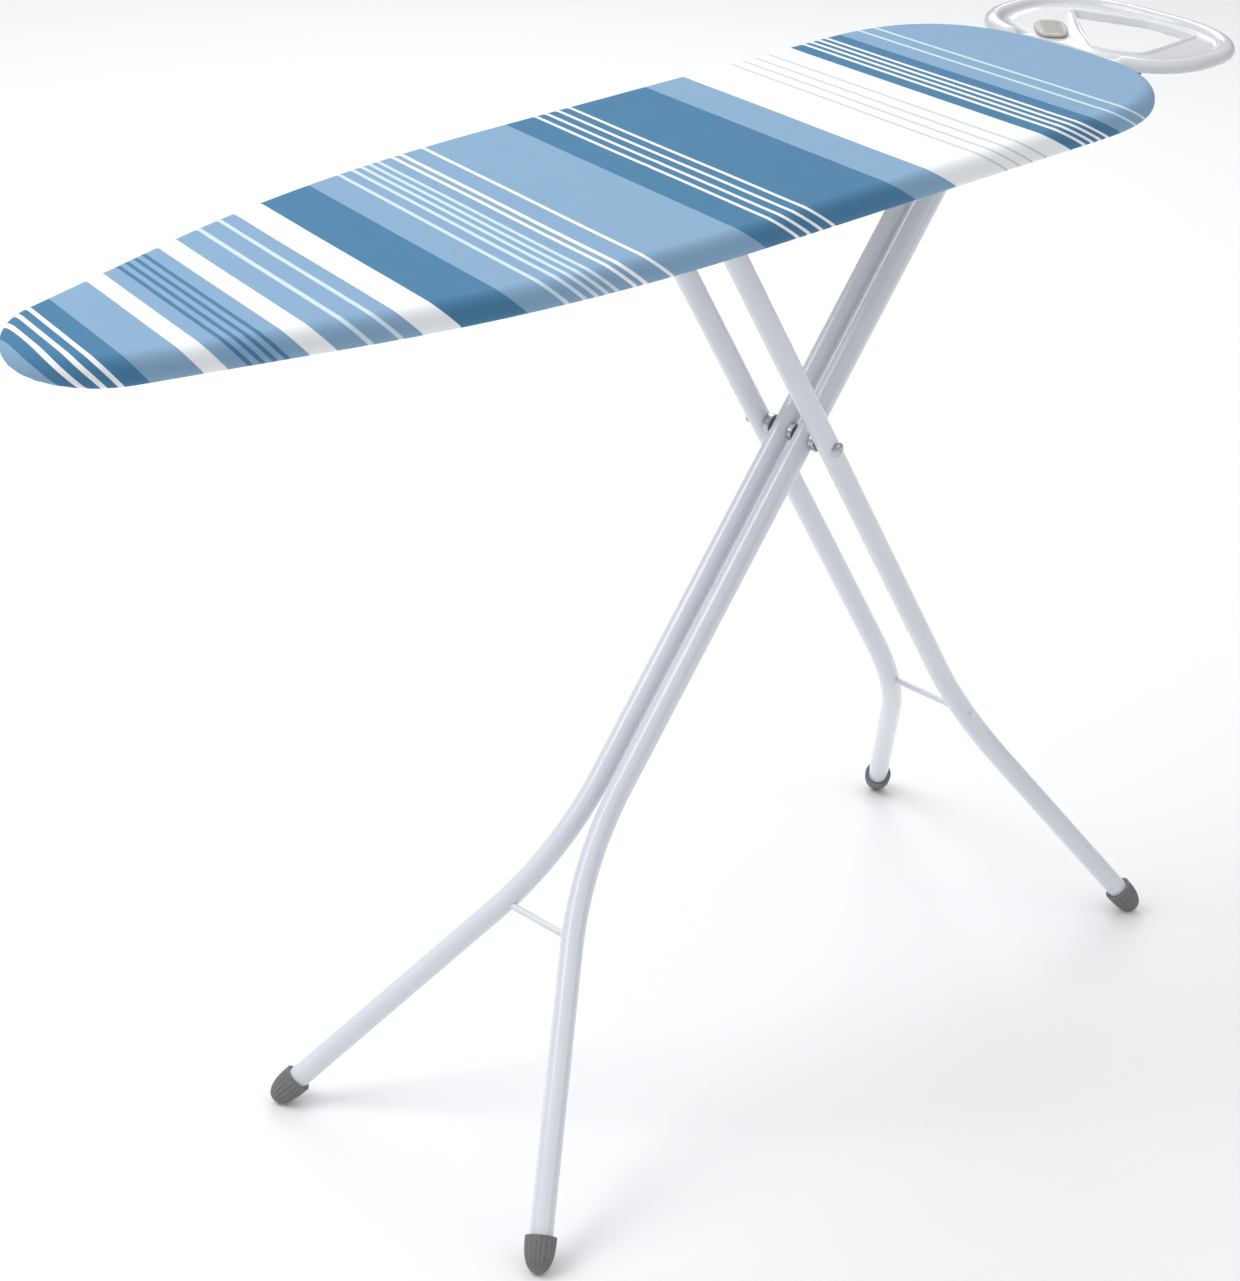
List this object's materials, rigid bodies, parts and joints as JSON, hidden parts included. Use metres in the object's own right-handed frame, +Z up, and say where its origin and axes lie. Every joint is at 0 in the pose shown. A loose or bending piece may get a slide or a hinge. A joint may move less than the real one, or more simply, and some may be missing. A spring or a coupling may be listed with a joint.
{
  "type": "ironing board",
  "caption": "Folding ironing board: long board with a rounded nose and a striped cover, crossed tube legs with splayed capped feet, a height rack with a lever, and a moulded iron rest.",
  "frame": {"origin": "centre of the object's box on the floor, under the board", "axes": "+X towards the iron rest, along the board's length; +Y across the board; +Z up, from the feet to the cover"},
  "size_m": [1.322, 0.3528, 0.859],
  "materials": {
    "cover": "printed woven cotton with blue and white stripes across the board",
    "foam": "felted pad",
    "cord": "braided white drawcord",
    "enamel": "glossy white powder coat on steel tube and sheet",
    "zinc": "bright zinc plate",
    "arm": "dark grey satin enamel",
    "foot_cap": "grey moulded plastic with lengthwise ribs",
    "nylon": "black nylon",
    "rest_plastic": "glossy translucent white moulding",
    "rest_pad": "silver grey ribbed heat-proof pad"
  },
  "bodies": {
    "board": {"cover": "cover", "pad": "foam", "platform_sheet": "enamel", "rim_tube": "enamel", "drawcord": "cord", "channel_nose": "enamel", "channel_front": "enamel", "channel_rear": "enamel", "channel_hinge": "enamel", "channel_tail": "enamel", "hinge_bracket_left": "zinc", "hinge_bracket_right": "zinc", "hinge_pin_head_left": "zinc", "hinge_pin_head_right": "zinc", "bracket_screw_left_1": "zinc", "bracket_screw_left_2": "zinc", "bracket_screw_right_1": "zinc", "bracket_screw_right_2": "zinc", "hinge_pin": "zinc", "guide_rail_left": "zinc", "guide_rail_right": "zinc", "rail_hanger_front_left": "zinc", "rail_hanger_front_right": "zinc", "rail_hanger_rear_left": "zinc", "rail_hanger_rear_right": "zinc", "height_rack": "zinc", "iron_rest_tray": "rest_plastic", "iron_rest_pad": "rest_pad", "rest_arm_left": "arm", "rest_arm_right": "arm", "arm_clamp_left": "zinc", "arm_clamp_right": "zinc"},
    "inner_leg": {"inner_leg_tube_left": "enamel", "inner_leg_tube_right": "enamel", "inner_foot_cap_left": "foot_cap", "inner_foot_cap_right": "foot_cap", "inner_brace_rod": "enamel", "inner_hinge_tube": "enamel", "cross_rod": "zinc", "centre_spacer": "zinc", "side_spacer_left": "zinc", "side_spacer_right": "zinc", "rod_head_left": "zinc", "rod_head_right": "zinc"},
    "outer_leg": {"outer_leg_tube_left": "enamel", "outer_leg_tube_right": "enamel", "outer_foot_cap_left": "foot_cap", "outer_foot_cap_right": "foot_cap", "outer_brace_rod": "enamel", "crossbar": "enamel"},
    "slider": {"slider_shoe_left": "nylon", "slider_shoe_right": "nylon"},
    "lever": {"lock_pawl": "zinc", "release_lever": "zinc", "lever_grip": "nylon", "lever_spring": "zinc"}
  },
  "joints": [
    {"name": "inner_leg_fold", "type": "hinge", "parent": "board", "child": "inner_leg", "pos_m": [0.318, 0, 0.79377], "axis": [0, 1, 0], "range_deg": [0, 50]},
    {"name": "cross_pivot", "type": "hinge", "parent": "inner_leg", "child": "outer_leg", "pos_m": [0.14296, 0, 0.5745], "axis": [0, 1, 0], "range_deg": [-100, 0]},
    {"name": "crossbar_turn", "type": "hinge", "parent": "outer_leg", "child": "slider", "pos_m": [-0.01435, 0, 0.80683], "axis": [0, 1, 0], "range_deg": [0, 50]},
    {"name": "lever_squeeze", "type": "hinge", "parent": "slider", "child": "lever", "pos_m": [-0.01435, 0, 0.80683], "axis": [0, 1, 0], "range_deg": [0, 10], "stiffness_Nm_per_rad": 2, "springref_deg": -5.73}
  ],
  "couplings": [
    {"joint": "cross_pivot", "follows": "inner_leg_fold", "ratio": -2},
    {"joint": "crossbar_turn", "follows": "inner_leg_fold", "ratio": 1}
  ]
}
